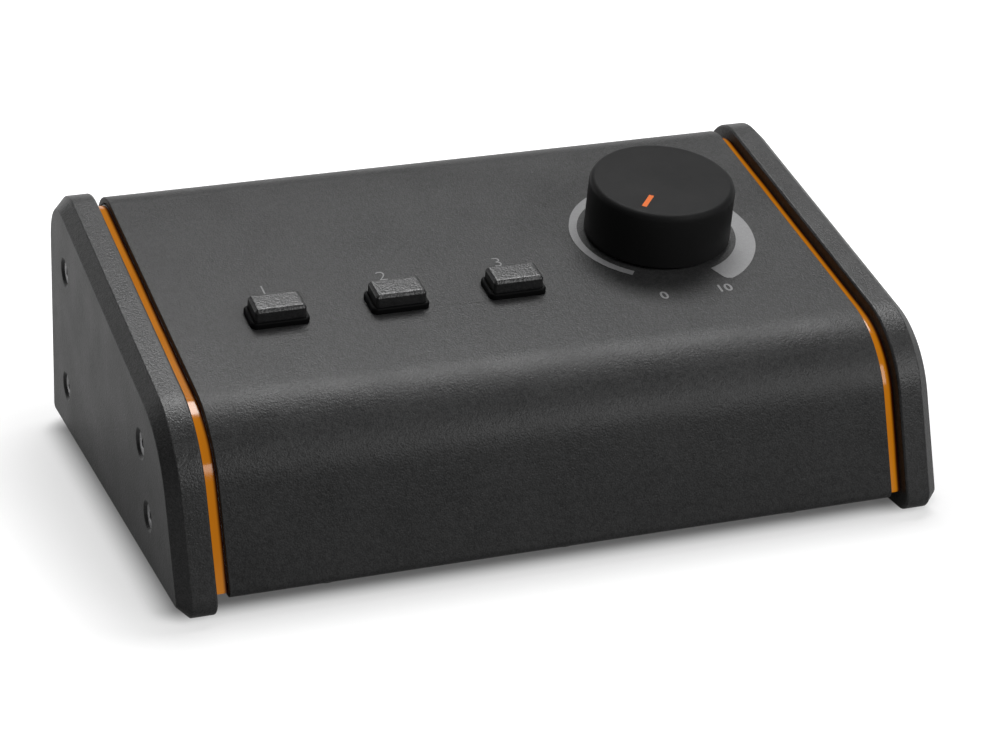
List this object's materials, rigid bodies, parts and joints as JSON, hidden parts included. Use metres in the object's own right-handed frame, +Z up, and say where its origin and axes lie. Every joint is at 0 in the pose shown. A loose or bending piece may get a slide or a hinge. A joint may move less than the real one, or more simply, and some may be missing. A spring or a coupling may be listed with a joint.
{
  "type": "desktop monitor controller",
  "caption": "Wedge-shaped desktop audio controller with a volume knob and push buttons on a sloping folded-metal top, thick chamfered side plates and amber accent plates.",
  "frame": {"origin": "on the desk, under the middle of the overall box", "axes": "+X to the right along the width, +Y from front to rear, +Z up; the front faces -Y"},
  "size_m": [0.18, 0.1282, 0.0708],
  "materials": {
    "shell_coat": "fine-textured charcoal powder coat, matt",
    "plate_coat": "fine-textured dark grey powder coat",
    "tray_zinc": "zinc-plated sheet steel",
    "amber_acrylic": "polished amber acrylic, edges clear",
    "bright_steel": "bright plated steel",
    "zinc_steel": "zinc-plated steel",
    "black_steel": "black oxide steel",
    "soft_black": "matt soft-touch black",
    "orange_inlay": "orange inlay",
    "cap_black": "satin dark grey plastic",
    "bezel_black": "glossy black plastic",
    "foot_rubber": "matt black rubber",
    "brass_bare": "turned brass",
    "nickel_brass": "nickel-plated brass",
    "pot_can": "pressed bright can",
    "track_resin": "brown phenolic with carbon tracks",
    "wiper_resin": "cream moulded carrier",
    "switch_resin": "black moulded housing",
    "plunger_resin": "white moulded stem",
    "spring_steel": "bright spring wire",
    "board_green": "green solder mask over glass-epoxy",
    "resistor_blue": "blue lacquered film resistors, tinned leads",
    "header_black": "black moulded header",
    "ribbon_grey": "grey PVC ribbon",
    "socket_black": "black-coated die-cast socket shell",
    "insert_black": "black moulded insert",
    "contact_gold": "gold-plated contacts"
  },
  "bodies": {
    "case": {"top_shell": "shell_coat", "chassis_tray": "tray_zinc", "left_side_plate": "plate_coat", "left_accent_plate": "amber_acrylic", "right_side_plate": "plate_coat", "right_accent_plate": "amber_acrylic", "left_side_screws": "bright_steel", "right_side_screws": "bright_steel", "side_clinch_nuts": "zinc_steel", "base_screws": "black_steel", "base_clinch_nuts": "zinc_steel", "rubber_feet": "foot_rubber", "pot_bushing": "nickel_brass", "pot_washer": "zinc_steel", "pot_nut": "nickel_brass", "pot_case": "pot_can", "pot_tracks": "track_resin", "pot_back_cover": "track_resin", "pot_pins": "zinc_steel", "button_bezel_1": "bezel_black", "switch_body_1": "switch_resin", "switch_spring_1": "spring_steel", "button_bezel_2": "bezel_black", "switch_body_2": "switch_resin", "switch_spring_2": "spring_steel", "button_bezel_3": "bezel_black", "switch_body_3": "switch_resin", "switch_spring_3": "spring_steel", "control_pcb": "board_green", "panel_standoffs": "zinc_steel", "board_screws": "black_steel", "pad_resistors": "resistor_blue", "control_header": "header_black", "rear_header": "header_black", "ribbon_cable": "ribbon_grey", "left_output_socket": "socket_black", "right_output_socket": "socket_black", "left_input_socket": "socket_black", "right_input_socket": "socket_black", "output_inserts": "insert_black", "input_inserts": "insert_black", "output_pins": "contact_gold", "input_contacts": "contact_gold", "connector_screws": "black_steel", "mini_jack": "insert_black", "mini_jack_nut": "nickel_brass", "rear_pcb": "board_green"},
    "knob": {"volume_knob": "soft_black", "knob_pointer": "orange_inlay", "knob_insert": "brass_bare", "pot_shaft": "nickel_brass", "pot_wipers": "wiper_resin"},
    "button_1": {"button_cap_1": "cap_black", "switch_plunger_1": "plunger_resin"},
    "button_2": {"button_cap_2": "cap_black", "switch_plunger_2": "plunger_resin"},
    "button_3": {"button_cap_3": "cap_black", "switch_plunger_3": "plunger_resin"}
  },
  "joints": [
    {"name": "volume_turn", "type": "hinge", "parent": "case", "child": "knob", "pos_m": [0.0448, 0.00008, 0.05297], "axis": [0, 0.225, -0.9744], "range_deg": [0, 300]},
    {"name": "button_1_press", "type": "slide", "parent": "case", "child": "button_1", "axis": [0, 0.225, -0.9744], "range_m": [0, 0.0025], "stiffness_N_per_m": 400, "springref_m": -0.002, "deforming": ["switch_spring_1"]},
    {"name": "button_2_press", "type": "slide", "parent": "case", "child": "button_2", "axis": [0, 0.225, -0.9744], "range_m": [0, 0.0025], "stiffness_N_per_m": 400, "springref_m": -0.002, "deforming": ["switch_spring_2"]},
    {"name": "button_3_press", "type": "slide", "parent": "case", "child": "button_3", "axis": [0, 0.225, -0.9744], "range_m": [0, 0.0025], "stiffness_N_per_m": 400, "springref_m": -0.002, "deforming": ["switch_spring_3"]}
  ]
}
